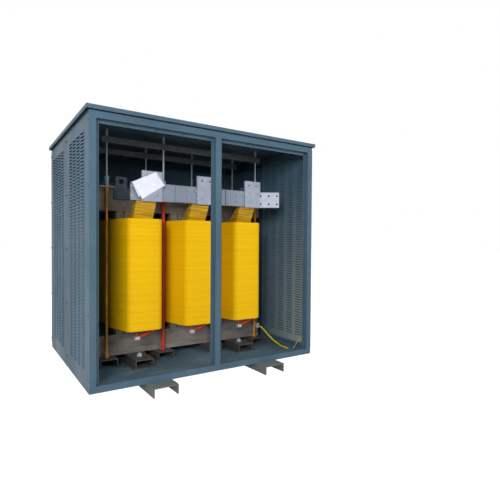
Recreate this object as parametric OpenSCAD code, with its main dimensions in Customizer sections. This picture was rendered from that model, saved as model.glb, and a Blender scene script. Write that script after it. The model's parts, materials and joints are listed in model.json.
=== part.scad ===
// Dry-type power transformer in a louvred sheet-steel enclosure, front covers off.
// Millimetres. Origin: middle of the footprint at floor level, +Z up, -Y is the open front.

/* [Skids] */
// Height of the two channel skids
skid_h = 75; // [60:1:120]
// Width of a skid channel
skid_w = 200; // [160:1:240]
// Steel thickness of a skid channel
skid_t = 9; // [6:0.5:12]
// Length of a skid, front to back
skid_len = 1870; // [1750:10:2000]

/* [Enclosure] */
// Clear width between an outer support channel and the side rails
side_clear = 147.5; // [100:0.5:260]
// Clear depth between a foot and the face of the frame
front_clear = 314; // [290:1:450]
// Size of the square posts and rails
rail = 50; // [40:1:60]
// Width of the rebate lip that a cover closes against
lip_w = 26; // [18:1:34]
// Sheet thickness of the rebate lip
lip_t = 3; // [2:0.5:5]
// Distance of the rebate lip behind the face of the frame
lip_set = 38; // [25:1:38]
// Height of the floor surface above the underside of the frame
floor_rise = 20; // [14:1:30]
// Thickness of the floor plate
floor_t = 5; // [3:0.5:8]
// Width of a floor stiffener
floor_rib = 40; // [20:1:60]

/* [Roof] */
// Overhang of the roof pan beyond the frame
roof_over = 22; // [10:1:40]
// Height of the roof top above the top rails
roof_rise = 35; // [25:1:50]
// Depth of the turned-down roof edge
roof_lip = 30; // [20:1:34]
// Sheet thickness of the roof
roof_t = 3; // [2:0.5:5]
// Width of the bearing strip under the roof pan
roof_seat = 30; // [20:1:38]

/* [Louvred panels] */
// Sheet thickness of a panel
panel_t = 3; // [2:0.5:5]
// Joint between two panels
panel_gap = 4; // [2:0.5:8]
// Bare strip of frame above a side panel
panel_top = 27; // [15:1:35]
// Length of one louvre
louvre_w = 100; // [70:1:120]
// Sideways distance from one louvre column to the next
louvre_pitch_w = 144; // [125:1:150]
// Vertical distance from one louvre to the next
louvre_pitch_h = 25.4; // [22:0.2:40]
// Height of a louvre slot
louvre_slot = 11; // [8:0.5:14]
// Bare sheet above and below the louvres
louvre_margin = 85; // [60:1:140]
// Louvre columns in a side panel
side_columns = 4; // [1:1:4]
// Louvre columns in a back panel
back_columns = 6; // [1:1:6]

/* [Core and clamps] */
// Distance between neighbouring core legs
leg_pitch = 508; // [480:1:540]
// Width of a core leg and height of a yoke
leg_w = 180; // [150:1:190]
// Depth of the core stack
stack_d = 380; // [340:1:400]
// Thickness of a clamp plate
clamp_t = 12; // [8:1:20]
// Reach of a clamp beyond the outer tie rods
clamp_over = 68; // [58:1:110]
// Reach of the clamp flange in front of the plate
flange_d = 70; // [56:1:80]
// Height of the upper clamp plate above the upper yoke
clamp_rise = 25; // [16:1:30]

/* [Coils] */
// Width of a coil at its sides
coil_w = 434; // [400:1:450]
// Width of the flat front and back of a coil
coil_front_w = 284; // [240:1:330]
// Depth of a coil
coil_d = 980; // [930:1:1000]
// Depth of the straight part of a coil's sides
coil_side_d = 380; // [300:1:460]
// Height of a coil
coil_h = 936; // [880:1:960]
// Radius of the front and back corners of a coil
coil_r = 50; // [20:1:80]
// Clearance between a core leg and its coil
coil_bore_gap = 10; // [5:0.5:15]
// Height of the blocks between the lower yoke and a coil
block_h = 67; // [40:1:80]
// Height of the blocks between a coil and the upper yoke
top_block_h = 72; // [40:1:90]
// Width of a coil block
block_w = 60; // [40:1:70]
// Depth of a coil block
block_d = 90; // [60:1:120]

/* [Base] */
// Width of a support channel
support_w = 150; // [120:1:180]
// Height of a support channel
support_h = 70; // [50:1:90]
// Steel thickness of a support channel
support_t = 8; // [6:0.5:12]
// Length of a support channel
support_len = 630; // [600:10:760]
// Width of a foot plate
foot_w = 200; // [180:1:230]
// Thickness of a foot plate
foot_t = 10; // [6:1:16]
// Reach of a foot from the middle of the core
foot_reach = 495; // [470:1:560]
// Width of the channel on a foot plate
foot_channel_w = 160; // [140:1:172]
// Distance of a foot channel from the edge of its plate
foot_edge = 25; // [10:1:40]

/* [Tie rods and hangers] */
// Distance of the tie rods in front of the clamp plates
rod_gap = 30; // [26:1:42]
// Diameter of an outer tie rod
rod_dia = 20; // [14:1:26]
// Diameter of the sleeve on an inner tie rod
sleeve_dia = 34; // [26:1:40]
// Height of a tie rod nut
nut_h = 18; // [12:1:24]
// Diameter of a hanger insulator
insulator_dia = 42; // [36:1:48]
// Height of a hanger insulator
insulator_h = 85; // [60:1:110]
// Length of a hanger rod between its insulator and its beam
hanger_len = 282; // [240:1:480]
// Diameter of a hanger rod
hanger_dia = 14; // [10:1:18]
// Diameter of the upper hanger between beam and roof
hook_dia = 22; // [16:1:28]
// Height of a hanger beam
beam_h = 50; // [40:1:60]
// Depth of a hanger beam
beam_d = 40; // [30:1:50]
// Wall of a hanger beam
beam_t = 4; // [3:0.5:6]
// Reach of a hanger beam beyond the outer hanger rods
beam_over = 48; // [30:1:110]
// Distance of a hanger beam below the roof sheet
beam_drop = 65; // [50:1:90]

/* [Lifting lugs] */
// Width of a lifting lug at the eye
lug_w = 100; // [90:1:110]
// Width of a lifting lug at the foot
lug_foot_w = 130; // [115:1:140]
// Thickness of a lifting lug
lug_t = 25; // [16:1:30]
// Diameter of the lifting eye
lug_eye = 45; // [30:1:55]
// Height of the lug top above the upper clamp
lug_rise = 90; // [85:1:105]
// Height of a lifting lug
lug_h = 194; // [175:1:200]
// Distance of the lifting lugs outside the outer legs
lug_over = 128; // [105:1:142]

/* [Busbars and leads] */
// Height of the neutral bar
bar_h = 150; // [130:1:160]
// Thickness of the neutral bar
bar_t = 10; // [6:1:14]
// Distance of the neutral bar's back face behind the front of the coils
bar_in = 35; // [20:1:60]
// Height of the bar's lower edge above the coils
bar_rise = 152; // [130:1:170]
// Reach of the neutral bar to the left of the left leg
bar_left_over = 124; // [100:1:170]
// Reach of the neutral bar to the right of the right leg, up to its bend
bar_right_over = 143; // [132:1:190]
// Length of the bent neutral terminal
neutral_len = 204; // [196:1:230]
// Angle of the bent neutral terminal
neutral_bend = 34; // [0:1:45]
// Width of a phase terminal
terminal_w = 178; // [150:1:200]
// Height of a phase terminal
terminal_h = 252; // [230:1:270]
// Thickness of a phase terminal
terminal_t = 20; // [10:1:30]
// Sideways offset of a phase terminal from its leg
terminal_x = 54; // [40:1:70]
// Distance of the lower terminal edge above the lower bar edge
terminal_rise = -5; // [-15:1:5]
// Spacing of the terminal holes
hole_pitch = 80; // [60:1:84]
// Diameter of a terminal hole
hole_dia = 18; // [11:0.5:22]
// Distance of the top row of holes from the terminal's top edge
hole_edge = 41; // [25:1:60]
// Width of a coil lead
lead_w = 172; // [140:1:200]
// Distance of a lead's foot behind the front of its coil
lead_in = 116; // [100:1:140]
// Number of foils in a coil lead
lead_foils = 7; // [3:1:8]
// Thickness of a foil
foil_t = 8; // [5:0.5:9]
// Distance between the feet of neighbouring foils
foil_step = 24; // [14:1:25]
// Height of the upright end of a lead behind the bar
lead_up = 130; // [100:1:140]

/* [Links and sheets] */
// Diameter of a tap link cable
link_dia = 24; // [16:1:30]
// Sideways reach of a tap link
link_span = 200; // [160:1:220]
// Drop of a tap link's lug below the coil
link_drop = 72; // [60:1:90]
// Diameter of the stud that holds a tap link
link_stud = 18; // [12:1:22]
// Width of the hanging sheets
sheet_w = 232; // [150:1:260]
// Height of the hanging sheets
sheet_h = 133; // [120:1:200]
// Thickness of the hanging sheets
sheet_t = 2; // [1:0.5:4]
// Tilt of the hanging sheets
sheet_tilt = 33; // [0:1:40]
// Height of the sheets' middle above the middle of the bar
sheet_up = 51; // [20:1:70]
// Sideways offset of the sheets from the middle of the terminal
sheet_side = 27; // [0:1:40]

/* [Hidden] */
$fn = 48;
eps = 0.01;

steel_blue = "#5b7080";
steel_dark = "#4d5a63";
bare_steel = "#77736b";
core_grey = "#8d8677";
coil_yellow = "#eeb80a";
aluminium = "#c9ced6";

outer_x = 1.5 * leg_pitch;
inner_x = 0.5 * leg_pitch;
lug_x = leg_pitch + lug_over;

frame_w = 2 * (outer_x + support_w / 2 + side_clear + rail);
case_d = 2 * (foot_reach + front_clear);
bay_w = frame_w / 2 - 1.5 * rail;
bay_x = rail / 2 + bay_w / 2;

window_h = block_h + coil_h + top_block_h;
z_case = skid_h;
z_floor = z_case + floor_rise;
z_core = z_floor + support_h;
z_window = z_core + leg_w;
z_coil = z_window + block_h;
z_coil_top = z_coil + coil_h;
z_upper_yoke = z_window + window_h;
z_core_top = z_upper_yoke + leg_w;
z_clamp_top = z_core_top + clamp_rise;
z_flange = z_clamp_top - clamp_t;
z_hanger = z_clamp_top + insulator_h;
z_beam = z_hanger + hanger_len + beam_h;
z_roof_in = z_beam + beam_drop;
z_roof = z_roof_in + roof_t;
z_case_top = z_roof - roof_rise;
case_h = z_case_top - z_case;

yoke_len = 2 * leg_pitch + leg_w;
clamp_len = 2 * (outer_x + clamp_over);
beam_len = 2 * (outer_x + beam_over);
clamp_face = stack_d / 2 + clamp_t;
rod_y = clamp_face + rod_gap;

z_bar = z_coil_top + bar_rise;
bar_y = coil_d / 2 - bar_in;
bar_left = leg_pitch + bar_left_over;
bar_right = leg_pitch + bar_right_over;
bar_front = -bar_y - bar_t;
terminal_front = bar_front - terminal_t;

cable_dia = 16;
wire_dia = 6;
cable_sides = 10;
// Route of the earth cable, from its lug on the clamp down to the floor and forward
cable_route = [
    [816, -232, 264], [830, -232, 264], [846, -237, 256], [861, -247, 242], [874, -262, 223],
    [885, -281, 202], [894, -305, 180], [901, -335, 159], [906, -372, 140], [909, -415, 124],
    [910, -460, 112.5], [909, -505, 106], [907, -550, 103.5], [905, -595, 103.2], [905, -640, 103.2]
];
// Route of the bonding wire, from the floor stud up to the lip of the front right post
wire_route = [
    [917, -662, 104], [930, -662, 104], [943, -664, 109], [952, -669, 121], [957, -676, 138],
    [960, -685, 157], [963, -697, 176], [967, -713, 193], [970, -730, 205], [971.5, -748, 211],
    [971.5, -768, 212]
];

// Box between two opposite corners
module span(low, high) {
    translate(low) cube(high - low);
}

// Copies at all the X places in a list
module at_x(places) {
    for (x = places) translate([x, 0, 0]) children();
}

// The same piece in front of and behind the core
module front_and_back() {
    children();
    mirror([0, 1, 0]) children();
}

// The same piece on both sides
module left_and_right() {
    children();
    mirror([1, 0, 0]) children();
}

// Channel section with its web on top and its flanges down
module channel_section(w, h, t) {
    difference() {
        translate([-w / 2, 0]) square([w, h]);
        translate([-w / 2 + t, -eps]) square([w - 2 * t, h - t + eps]);
    }
}

// Channel lying front to back between two Y places
module channel_y(w, h, t, y0, y1) {
    translate([0, y1, 0]) rotate([90, 0, 0]) linear_extrude(y1 - y0) channel_section(w, h, t);
}

// Hexagon nut on the Z axis
module nut(rod, h) {
    cylinder(d = 2 * rod, h = h, $fn = 6);
}

// Skids

module skid(x) {
    color(steel_dark) translate([x, 0, 0])
        channel_y(skid_w, skid_h, skid_t, -skid_len / 2, skid_len / 2);
}

module skid_left() { skid(-leg_pitch); }

module skid_right() { skid(leg_pitch); }

// Frame

module floor_plate() {
    half_w = frame_w / 2 - rail;
    half_d = case_d / 2 - rail;
    ribs = [-half_d / 2, 0, half_d / 2];
    color(steel_dark) {
        span([-half_w, -half_d, z_floor - floor_t], [half_w, half_d, z_floor]);
        for (y = ribs)
            span([-half_w, y - floor_rib / 2, z_case], [half_w, y + floor_rib / 2, z_floor - floor_t]);
    }
}

// Post with rebate lips towards the bays that it borders, in plan
module post_section(lips) {
    translate([-rail / 2, 0]) square(rail);
    for (side = lips)
        translate([side > 0 ? rail / 2 - eps : -rail / 2 - lip_w, lip_set])
            square([lip_w + eps, lip_t]);
}

module front_post(x, lips, z0, z1) {
    translate([x, -case_d / 2, z0]) linear_extrude(z1 - z0) post_section(lips);
}

module corner_posts() {
    corner = frame_w / 2 - rail / 2;
    color(steel_blue) front_and_back() {
        for (side = [-1, 1]) {
            front_post(side * corner, [], z_case, z_case_top);
            front_post(side * corner, [-side], z_case + rail, z_case_top - rail);
        }
    }
}

module centre_posts() {
    color(steel_blue) front_and_back() front_post(0, [-1, 1], z_case + rail, z_case_top - rail);
}

// Posts behind the joint of the two panels on each side
module side_posts() {
    inner = frame_w / 2;
    color(steel_blue) left_and_right()
        span([inner - rail / 2, -rail / 2, z_case + rail], [inner, rail / 2, z_case_top - rail]);
}

// Rails at one level
module rails(z) {
    half_w = frame_w / 2 - rail;
    half_d = case_d / 2;
    front_and_back() span([-half_w, -half_d, z], [half_w, -half_d + rail, z + rail]);
    left_and_right() span([half_w, -half_d + rail, z], [half_w + rail, half_d - rail, z + rail]);
}

module bottom_rails() {
    color(steel_blue) rails(z_case);
}

// Upper rails, with a rebate lip over each front and back bay
module top_rails() {
    z = z_case_top - rail;
    lip_y = -case_d / 2 + lip_set;
    lip_half = bay_w / 2 - lip_w;
    color(steel_blue) {
        rails(z);
        front_and_back() at_x([-bay_x, bay_x])
            span([-lip_half, lip_y, z - lip_w], [lip_half, lip_y + lip_t, z]);
    }
}

// Louvred panels

// Upright sheet from y = 0 to y = w and z = 0 to z = h, facing +X, with columns of louvres
module louvred_sheet(w, h, columns) {
    rows = floor((h - 2 * louvre_margin) / louvre_pitch_h);
    first_y = w / 2 - (columns - 1) / 2 * louvre_pitch_w - louvre_w / 2;
    first_z = h / 2 - rows / 2 * louvre_pitch_h;
    rotate([90, 0, 90]) linear_extrude(panel_t) difference() {
        square([w, h]);
        for (c = [0 : columns - 1], r = [0 : rows])
            translate([first_y + c * louvre_pitch_w, first_z + r * louvre_pitch_h - louvre_slot / 2])
                square([louvre_w, louvre_slot]);
    }
}

// Panel on the right side of the frame, behind the joint
module side_panel() {
    w = case_d / 2 - panel_gap / 2;
    h = case_h - rail - panel_gap - panel_top;
    color(steel_blue) translate([frame_w / 2, panel_gap / 2, z_case + rail + panel_gap])
        louvred_sheet(w, h, side_columns);
}

module right_back_panel() { side_panel(); }

module right_front_panel() { mirror([0, 1, 0]) side_panel(); }

module left_back_panel() { mirror([1, 0, 0]) side_panel(); }

module left_front_panel() { mirror([1, 0, 0]) mirror([0, 1, 0]) side_panel(); }

// Cover that closes the right bay of the back, against the rebate lips
module back_cover() {
    w = bay_w - 2 * panel_gap;
    h = case_h - 2 * rail - 2 * panel_gap;
    color(steel_blue)
        translate([bay_x + w / 2, case_d / 2 - lip_set, z_case + rail + panel_gap])
        rotate([0, 0, 90]) louvred_sheet(w, h, back_columns);
}

module back_right_panel() { back_cover(); }

module back_left_panel() { mirror([1, 0, 0]) back_cover(); }

// Roof

// Upright band that follows the edge of a rectangle, from z0 to z1
module band(w, d, t, z0, z1) {
    translate([0, 0, z0]) linear_extrude(z1 - z0) difference() {
        square([w, d], center = true);
        square([w - 2 * t, d - 2 * t], center = true);
    }
}

module roof() {
    w = frame_w + 2 * roof_over;
    d = case_d + 2 * roof_over;
    seat_inset = (rail - roof_seat) / 2;
    color(steel_blue) {
        translate([0, 0, z_roof_in]) linear_extrude(roof_t) square([w, d], center = true);
        band(w, d, roof_t, z_roof - roof_lip, z_roof_in);
        band(frame_w - 2 * seat_inset, case_d - 2 * seat_inset, roof_seat, z_case_top, z_roof_in);
    }
}

// Base of the transformer

module support_channels() {
    color(bare_steel) translate([0, 0, z_floor]) at_x([-outer_x, -inner_x, inner_x, outer_x])
        channel_y(support_w, support_h, support_t, -support_len / 2, support_len / 2);
}

// Foot under the core beside a leg: a plate with a channel and its fixing bolt
module foot() {
    inner_y = stack_d / 2;
    channel_front = -foot_reach + foot_edge;
    channel_h = support_h - foot_t;
    bolt_y = (channel_front - inner_y) / 2;
    translate([0, 0, z_floor]) {
        span([-foot_w / 2, -foot_reach, 0], [foot_w / 2, -inner_y, foot_t]);
        translate([0, 0, foot_t])
            channel_y(foot_channel_w, channel_h, support_t, channel_front, -inner_y);
        translate([0, bolt_y, support_h]) nut(rod_dia, nut_h);
    }
}

module front_feet() {
    color(bare_steel) at_x([-leg_pitch, leg_pitch]) foot();
}

module back_feet() {
    mirror([0, 1, 0]) front_feet();
}

// Core

module yoke(z) {
    color(core_grey)
        span([-yoke_len / 2, -stack_d / 2, z], [yoke_len / 2, stack_d / 2, z + leg_w]);
}

module lower_yoke() { yoke(z_core); }

module upper_yoke() { yoke(z_upper_yoke); }

module leg(x) {
    color(core_grey)
        span([x - leg_w / 2, -stack_d / 2, z_window], [x + leg_w / 2, stack_d / 2, z_upper_yoke]);
}

module leg_a() { leg(-leg_pitch); }

module leg_b() { leg(0); }

module leg_c() { leg(leg_pitch); }

// Plates that clamp the lower yoke, front and back
module lower_clamps() {
    color(bare_steel) front_and_back()
        span([-clamp_len / 2, -clamp_face, z_core], [clamp_len / 2, -stack_d / 2, z_window]);
}

// Angle that clamps the upper yoke, its flange notched for the lifting lugs
module upper_clamp_front() {
    color(core_grey) difference() {
        union() {
            span([-clamp_len / 2, -clamp_face, z_upper_yoke], [clamp_len / 2, -stack_d / 2, z_clamp_top]);
            span([-clamp_len / 2, -clamp_face - flange_d, z_flange],
                 [clamp_len / 2, -clamp_face + eps, z_clamp_top]);
        }
        for (side = [-1, 1])
            span([side * lug_x - lug_foot_w / 2, -clamp_face - flange_d - eps, z_flange - eps],
                 [side * lug_x + lug_foot_w / 2, -clamp_face, z_clamp_top + eps]);
    }
}

module upper_clamp_back() {
    mirror([0, 1, 0]) upper_clamp_front();
}

// Lug in outline: X across, Y up from its foot
module lug_outline() {
    eye_y = lug_h - lug_w / 2 + lug_eye / 4;
    shoulder = lug_h - lug_rise;
    difference() {
        polygon([
            [-lug_foot_w / 2, 0], [lug_foot_w / 2, 0], [lug_foot_w / 2, shoulder / 2], [lug_w / 2, shoulder],
            [lug_w / 2, lug_h], [-lug_w / 2, lug_h], [-lug_w / 2, shoulder], [-lug_foot_w / 2, shoulder / 2]
        ]);
        translate([0, eye_y]) circle(d = lug_eye);
    }
}

module lifting_lugs() {
    color("#3d4449") front_and_back() at_x([-lug_x, lug_x])
        translate([0, -clamp_face, z_clamp_top + lug_rise - lug_h])
        rotate([90, 0, 0]) linear_extrude(lug_t) lug_outline();
}

// Coils

// Outline of a coil: a flat front and back, and sides that swell between them
coil_corners = [
    [coil_w / 2, -coil_side_d / 2], [coil_w / 2, coil_side_d / 2],
    [coil_front_w / 2, coil_d / 2], [-coil_front_w / 2, coil_d / 2],
    [-coil_w / 2, coil_side_d / 2], [-coil_w / 2, -coil_side_d / 2],
    [-coil_front_w / 2, -coil_d / 2], [coil_front_w / 2, -coil_d / 2]
];

// Outward direction of an edge, and the arc of a corner: its centre and its two ends
function edge_out(a, b) = [b.y - a.y, a.x - b.x] / norm(b - a);
function corner_arc(points, i, r) =
    let (
        n = len(points),
        here = points[i],
        into = edge_out(points[(i + n - 1) % n], here),
        away = edge_out(here, points[(i + 1) % n]),
        centre = here - r * (into + away) / (1 + into * away)
    ) [centre, centre + r * into, centre + r * away];

// Closed outline with an arc at each corner
module rounded_outline(points, r) {
    arcs = [for (i = [0 : len(points) - 1]) corner_arc(points, i, r)];
    polygon([for (arc = arcs) each [arc[1], arc[2]]]);
    for (arc = arcs) translate(arc[0]) circle(r);
}

module coil(x) {
    bore = 2 * coil_bore_gap;
    color(coil_yellow) translate([x, 0, z_coil]) linear_extrude(coil_h) difference() {
        rounded_outline(coil_corners, coil_r);
        square([leg_w + bore, stack_d + bore], center = true);
    }
}

module coil_a() { coil(-leg_pitch); }

module coil_b() { coil(0); }

module coil_c() { coil(leg_pitch); }

// Blocks beside each leg that hold the coils off a yoke
module coil_blocks(z0, z1) {
    leg_side = leg_w / 2 + coil_bore_gap;
    color("#d8cfae") at_x([-leg_pitch, 0, leg_pitch]) left_and_right() front_and_back()
        span([leg_side, -stack_d / 2, z0], [leg_side + block_w, -stack_d / 2 + block_d, z1]);
}

module lower_blocks() { coil_blocks(z_window, z_coil); }

module upper_blocks() { coil_blocks(z_coil_top, z_upper_yoke); }

// Leads and busbars

// One foil from its foot on the coil up to the back of the bar: X is to the front, Y is up
module foil_section(index) {
    top = bar_y - index * foil_t;
    foot = coil_d / 2 - lead_in - index * foil_step;
    polygon([
        [foot, 0], [top, bar_rise], [top, bar_rise + lead_up],
        [top - foil_t, bar_rise + lead_up], [top - foil_t, bar_rise], [foot - foil_t, 0]
    ]);
}

// Fan of foils that rises from the front of a coil
module lead(x) {
    color("#d9a21b") translate([x - lead_w / 2, 0, z_coil_top])
        rotate([90, 0, 90]) linear_extrude(lead_w) mirror([1, 0])
        for (index = [0 : lead_foils - 1]) foil_section(index);
}

module lead_a() { lead(-leg_pitch + 14); }

module lead_b() { lead(14); }

module lead_c() { lead(leg_pitch + 14); }

// Bolt holes through an upright plate, along Y
module plate_holes(columns, rows, depth) {
    for (c = [0 : columns - 1], r = [0 : rows - 1])
        translate([c * hole_pitch, eps, r * hole_pitch])
            rotate([90, 0, 0]) cylinder(d = hole_dia, h = depth + 2 * eps);
}

module neutral_bar() {
    hole_x = (neutral_len - 2 * hole_pitch) / 2;
    hole_z = (bar_h - hole_pitch) / 2;
    color(aluminium) translate([0, -bar_y, z_bar]) {
        span([-bar_left, -bar_t, 0], [bar_right, 0, bar_h]);
        translate([bar_right, 0, 0]) rotate([0, 0, -neutral_bend]) difference() {
            span([0, -bar_t, 0], [neutral_len, 0, bar_h]);
            translate([hole_x, 0, hole_z]) plate_holes(3, 2, bar_t);
        }
    }
}

module terminal(x) {
    hole_x = (terminal_w - hole_pitch) / 2;
    hole_z = terminal_h - hole_edge - 2 * hole_pitch;
    color(aluminium)
        translate([x + terminal_x - terminal_w / 2, bar_front, z_bar + terminal_rise]) difference() {
            span([0, -terminal_t, 0], [terminal_w, 0, terminal_h]);
            translate([hole_x, 0, hole_z]) plate_holes(2, 3, terminal_t);
        }
}

module terminal_a() { terminal(-leg_pitch); }

module terminal_b() { terminal(0); }

module terminal_c() { terminal(leg_pitch); }

// Tie rods and hangers

// Rod from the support channels up to the clamp flange, with a nut at each end
module tie_rod(dia, nut_size) {
    translate([0, -rod_y, 0]) {
        translate([0, 0, z_core]) cylinder(d = dia, h = z_flange - z_core);
        translate([0, 0, z_core]) nut(nut_size, nut_h);
        translate([0, 0, z_flange - nut_h]) nut(nut_size, nut_h);
    }
}

module outer_tie_rods() {
    color("#b8862b") front_and_back() at_x([-outer_x, outer_x]) tie_rod(rod_dia, rod_dia);
}

module inner_tie_rods() {
    color("#b3241c") front_and_back() at_x([-inner_x, inner_x]) tie_rod(sleeve_dia, rod_dia);
}

// Insulators that stand on the clamp flange
module hanger_insulators() {
    waist = insulator_dia * 0.8;
    color("#7d93ad") front_and_back() at_x([-outer_x, -inner_x, inner_x, outer_x])
        translate([0, -rod_y, z_clamp_top]) rotate_extrude() polygon([
            [0, 0], [insulator_dia / 2, 0], [insulator_dia / 2, insulator_h * 0.2],
            [waist / 2, insulator_h * 0.3], [waist / 2, insulator_h * 0.7],
            [insulator_dia / 2, insulator_h * 0.8], [insulator_dia / 2, insulator_h], [0, insulator_h]
        ]);
}

// Rods from the insulators to the beams, and on from the beams to the roof
module hanger_rods() {
    color("#9aa0a2") front_and_back() at_x([-outer_x, -inner_x, inner_x, outer_x])
        translate([0, -rod_y, 0]) {
            translate([0, 0, z_hanger]) cylinder(d = hanger_dia, h = hanger_len);
            translate([0, 0, z_beam]) cylinder(d = hook_dia, h = z_roof_in - z_beam);
        }
}

// Rectangular tubes across the top, front and back
module hanger_beams() {
    color("#565b5c") front_and_back()
        translate([-beam_len / 2, -rod_y, z_beam - beam_h / 2]) rotate([90, 0, 90])
        linear_extrude(beam_len) difference() {
            square([beam_d, beam_h], center = true);
            square([beam_d - 2 * beam_t, beam_h - 2 * beam_t], center = true);
        }
}

// Links, sheets and earthing

// Cable bridge under the front of a coil: stud and lug on the left, cable back up to the coil
module tap_link(x) {
    rise = atan2(link_drop, link_span);
    reach = link_span / cos(rise) + link_dia;
    lug = 1.6 * link_dia;
    intersection() {
        translate([x - link_span / 4, -coil_d / 2 + 80, z_coil - link_drop]) {
            cylinder(d = link_stud, h = link_drop);
            translate([-lug / 2, -lug / 2, -link_dia / 2]) cube([lug, lug, link_dia]);
            rotate([0, 90 - rise, 0]) cylinder(d = link_dia, h = reach);
        }
        span([x - coil_w, -coil_d / 2, z_coil - 2 * link_drop], [x + coil_w, 0, z_coil]);
    }
}

module tap_links() {
    color("#c0281f") at_x([-leg_pitch, 0, leg_pitch]) tap_link(0);
}

// Plain sheets hung over the first terminal
module hanging_sheets() {
    side = -leg_pitch + terminal_x - sheet_side;
    color("white") translate([side, terminal_front, z_bar + bar_h / 2 + sheet_up])
        rotate([90, 0, 0]) linear_extrude(sheet_t) rotate(sheet_tilt)
        square([sheet_w, sheet_h], center = true);
}

// Ring of points round a route point, square to the run of the route
function run_at(route, i) =
    let (a = route[max(i - 1, 0)], b = route[min(i + 1, len(route) - 1)]) (b - a) / norm(b - a);
function side_at(run) = let (s = cross(run, [0.6, 0.8, 0])) s / norm(s);
function ring_at(route, i, r) =
    let (run = run_at(route, i), side = side_at(run), up = cross(side, run))
    [for (k = [0 : cable_sides - 1])
        route[i] + r * (cos(360 * k / cable_sides) * side + sin(360 * k / cable_sides) * up)];

// Tube along a route
module tube(route, dia) {
    n = len(route);
    points = [for (i = [0 : n - 1]) each ring_at(route, i, dia / 2)];
    sides = [for (i = [0 : n - 2], k = [0 : cable_sides - 1])
        let (k2 = (k + 1) % cable_sides, row = i * cable_sides, next = row + cable_sides)
        [row + k, next + k, next + k2, row + k2]];
    start = [for (k = [0 : cable_sides - 1]) k];
    end = [for (k = [cable_sides - 1 : -1 : 0]) (n - 1) * cable_sides + k];
    polyhedron(points, concat(sides, [start, end]));
}

// Lug of the earth cable on the right end of the lower clamp
module earth_lug() {
    start = cable_route[0];
    color("#aab6cc") span([start[0] - 32, -clamp_face - 46, start[2] - 10],
                          [start[0], -clamp_face, start[2] + 40]);
}

// Stud on the floor that joins the cable and the bonding wire
module earth_stud() {
    end = cable_route[len(cable_route) - 1];
    block = [24, 44, 18];
    color("#aab6cc") {
        translate([end[0] - block[0] / 2, end[1] - block[1], z_floor]) cube(block);
        translate([end[0], end[1] - block[1] / 2, z_floor + block[2]]) nut(9, 8);
    }
}

module earth_cable() { color("#d9c400") tube(cable_route, cable_dia); }

module earth_wire() { color("#d9c400") tube(wire_route, wire_dia); }

skid_left();
skid_right();
floor_plate();
bottom_rails();
top_rails();
corner_posts();
centre_posts();
side_posts();
left_front_panel();
left_back_panel();
right_front_panel();
right_back_panel();
back_left_panel();
back_right_panel();
roof();
support_channels();
front_feet();
back_feet();
lower_yoke();
upper_yoke();
leg_a();
leg_b();
leg_c();
lower_clamps();
upper_clamp_front();
upper_clamp_back();
coil_a();
coil_b();
coil_c();
lower_blocks();
upper_blocks();
lead_a();
lead_b();
lead_c();
neutral_bar();
terminal_a();
terminal_b();
terminal_c();
outer_tie_rods();
inner_tie_rods();
hanger_insulators();
hanger_rods();
hanger_beams();
lifting_lugs();
tap_links();
hanging_sheets();
earth_lug();
earth_stud();
earth_cable();
earth_wire();
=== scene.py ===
"""Looks of a dry-type power transformer in a louvred steel enclosure, front covers off.

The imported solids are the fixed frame. Each class dresses one sub-assembly and adds its small pieces.
A name that ends in _mm is in millimetres, and every other length is in metres.
"""

from __future__ import annotations

import json
import logging
import math
from dataclasses import dataclass, replace
from enum import Enum
from typing import Any, Sequence

import bmesh
import bpy
from mathutils import Matrix, Vector

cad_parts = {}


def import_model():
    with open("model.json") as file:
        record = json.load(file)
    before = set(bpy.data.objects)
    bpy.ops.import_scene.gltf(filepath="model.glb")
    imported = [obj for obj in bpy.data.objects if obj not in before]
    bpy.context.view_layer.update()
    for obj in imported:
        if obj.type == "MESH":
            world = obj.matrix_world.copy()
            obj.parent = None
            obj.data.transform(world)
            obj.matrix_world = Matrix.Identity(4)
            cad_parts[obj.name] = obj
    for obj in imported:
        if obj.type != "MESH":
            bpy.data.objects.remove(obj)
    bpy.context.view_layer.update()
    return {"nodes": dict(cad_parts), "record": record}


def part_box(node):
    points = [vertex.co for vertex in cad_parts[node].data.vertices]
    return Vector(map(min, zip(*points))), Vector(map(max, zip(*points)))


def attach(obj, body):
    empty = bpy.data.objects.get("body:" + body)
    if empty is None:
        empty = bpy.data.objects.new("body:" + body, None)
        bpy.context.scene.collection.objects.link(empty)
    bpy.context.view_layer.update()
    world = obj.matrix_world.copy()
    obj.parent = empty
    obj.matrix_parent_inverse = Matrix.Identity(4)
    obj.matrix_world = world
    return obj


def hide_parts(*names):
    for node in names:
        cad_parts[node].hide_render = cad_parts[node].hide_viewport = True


LOG = logging.getLogger("transformer")
BODY = "root"
MM = 0.001
PHOTO_PX = 500
SENSOR_MM = 36.0
# Wave Texture scale at which one band is as long as one unit of its vector
WAVE_UNIT = math.tau / 20
PATCH_DETAIL = 5.0
PATCH_ROUGHNESS = 0.6
GRAIN_DETAIL = 3.0
BAND_DETAIL = 2.0
BAND_DISTORTION = 0.6
# Top of a tint that doesn't get thinner anywhere on the part
EVEN_TINT_MM = 100000.0

# Distance between the legs of the core
LEG_PITCH_MM = 508.0
COILS = ("coil_a", "coil_b", "coil_c")
TERMINALS = ("terminal_a", "terminal_b", "terminal_c")
SIDE_PANELS = ("left_front_panel", "left_back_panel", "right_front_panel", "right_back_panel")

Triple = tuple[float, float, float]
Tree = bpy.types.NodeTree
Socket = bpy.types.NodeSocket
Piece = bpy.types.Object


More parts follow.
